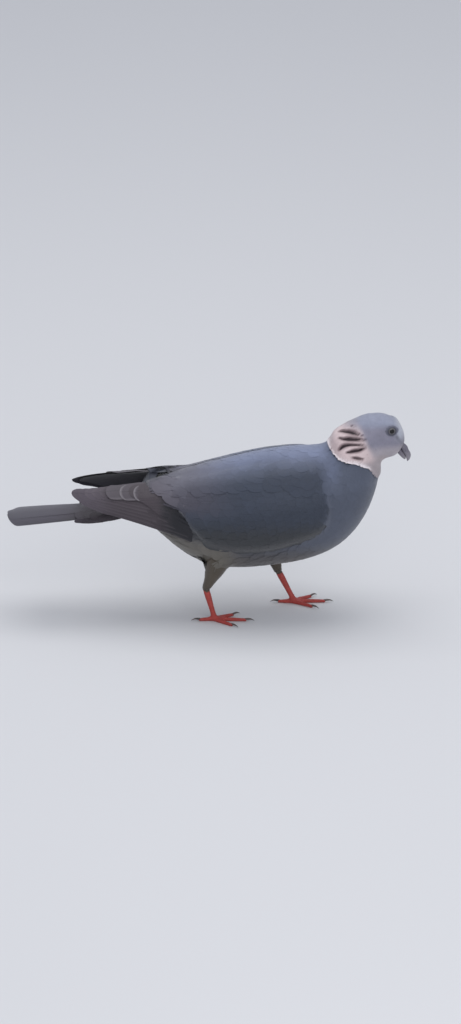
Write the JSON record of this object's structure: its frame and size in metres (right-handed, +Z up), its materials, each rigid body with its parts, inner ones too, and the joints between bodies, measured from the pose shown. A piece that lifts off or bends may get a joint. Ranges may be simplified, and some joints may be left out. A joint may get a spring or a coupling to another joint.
{
  "type": "wood pigeon",
  "caption": "Life-size standing wood pigeon with folded wings, a furrowed buff collar and its head bowed to feed; a still display figure.",
  "frame": {"origin": "on the ground under the middle of the bird's length and width", "axes": "+Z up, +X the way the bird faces, so its left side is at +Y"},
  "size_m": [0.3309, 0.0998, 0.1733],
  "materials": {
    "slate_feathers": "soft slate-blue body feathers, matt",
    "wing_feathers": "dark slate wing feathers, matt",
    "flight_feathers": "brown-black flight feathers, slightly glossy",
    "collar_feathers": "buff-pink collar feathers with dark furrows",
    "head_feathers": "ash-grey head feathers",
    "tail_feathers": "dark grey tail feathers",
    "thigh_feathers": "grey-brown thigh feathers",
    "bill": "grey-mauve horn, satin",
    "eye": "wet dark eye",
    "leg_skin": "coral-red scaled skin",
    "claw": "dark horn claw"
  },
  "bodies": {
    "root": {"trunk": "slate_feathers", "collar": "collar_feathers", "head": "head_feathers", "upper_bill": "bill", "lower_bill": "bill", "tail": "tail_feathers", "eye_right": "eye", "wing_right": "wing_feathers", "flight_feathers_right": "flight_feathers", "thigh_right": "thigh_feathers", "shank_right": "leg_skin", "foot_right": "leg_skin", "claw_inner_right": "claw", "claw_middle_right": "claw", "claw_outer_right": "claw", "claw_hind_right": "claw", "eye_left": "eye", "wing_left": "wing_feathers", "flight_feathers_left": "flight_feathers", "thigh_left": "thigh_feathers", "shank_left": "leg_skin", "foot_left": "leg_skin", "claw_inner_left": "claw", "claw_middle_left": "claw", "claw_outer_left": "claw", "claw_hind_left": "claw"}
  },
  "joints": []
}
